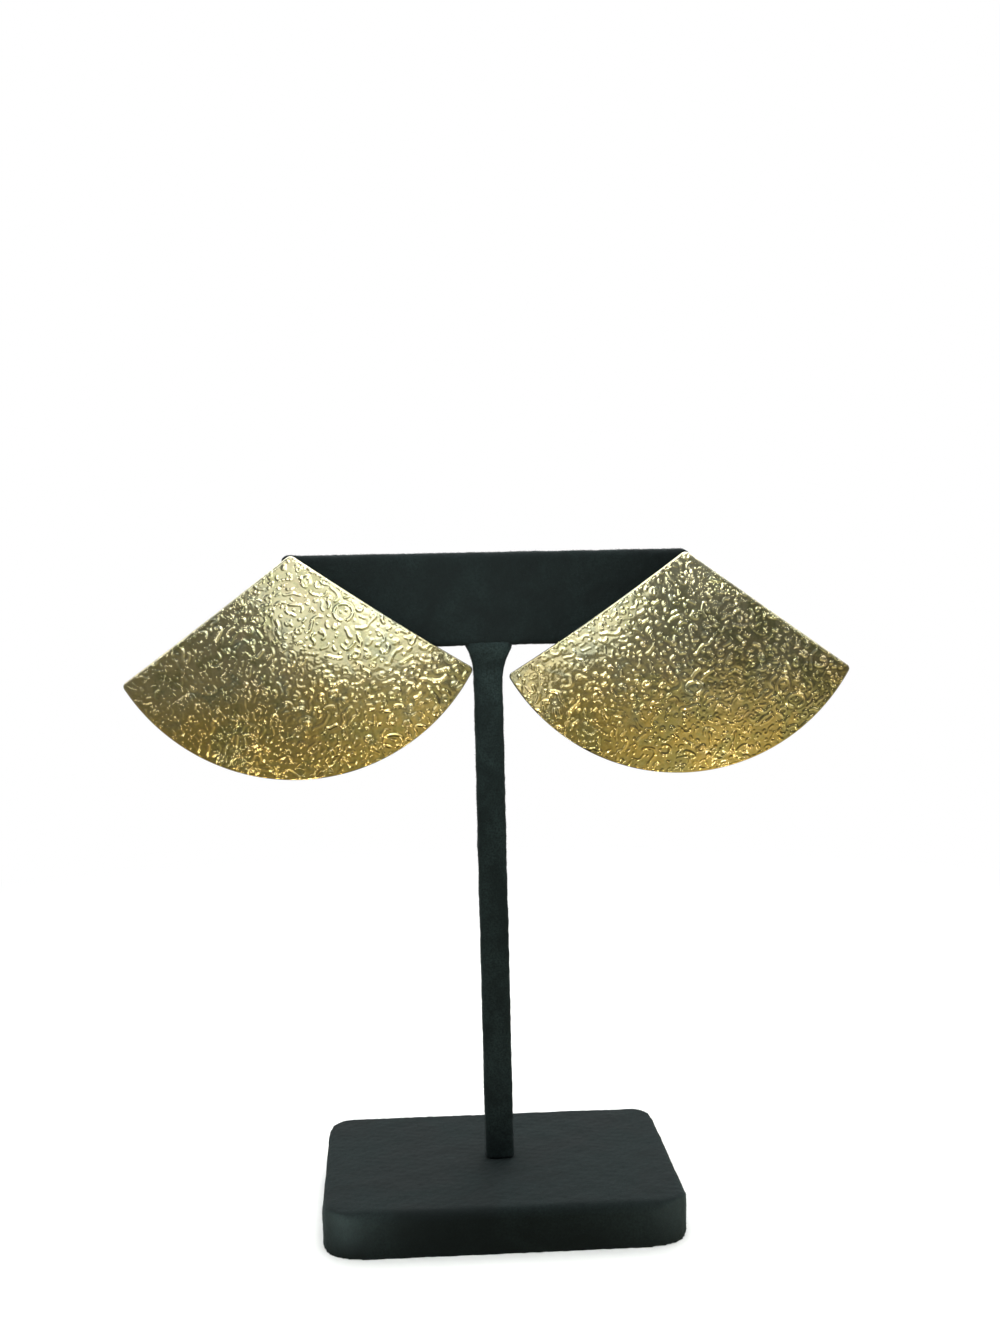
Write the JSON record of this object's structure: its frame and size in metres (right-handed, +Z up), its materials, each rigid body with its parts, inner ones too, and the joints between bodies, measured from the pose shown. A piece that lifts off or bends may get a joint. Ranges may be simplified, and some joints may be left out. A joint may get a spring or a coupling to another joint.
{
  "type": "pair of fan earrings and T-bar stand",
  "caption": "Domed fan-shaped post earrings of embossed gold-tone metal, held by nuts on a plain black velvet T-bar stand.",
  "frame": {"origin": "centre of the underside of the stand's base", "axes": "+X to the viewer's right along the stand's cross-bar, +Y away from the viewer, +Z up; the fans face -Y"},
  "size_m": [0.1147, 0.042, 0.1051],
  "materials": {
    "black_velvet": "short-pile black velvet over board",
    "old_gold": "embossed gold-tone plating, aged, with olive and grey tarnish",
    "nut_gold": "plain turned gold-tone metal"
  },
  "bodies": {
    "root": {"stand_base": "black_velvet", "stand_stem": "black_velvet", "stand_head": "black_velvet", "left_fan": "old_gold", "right_fan": "old_gold", "left_nut": "nut_gold", "right_nut": "nut_gold"}
  },
  "joints": []
}
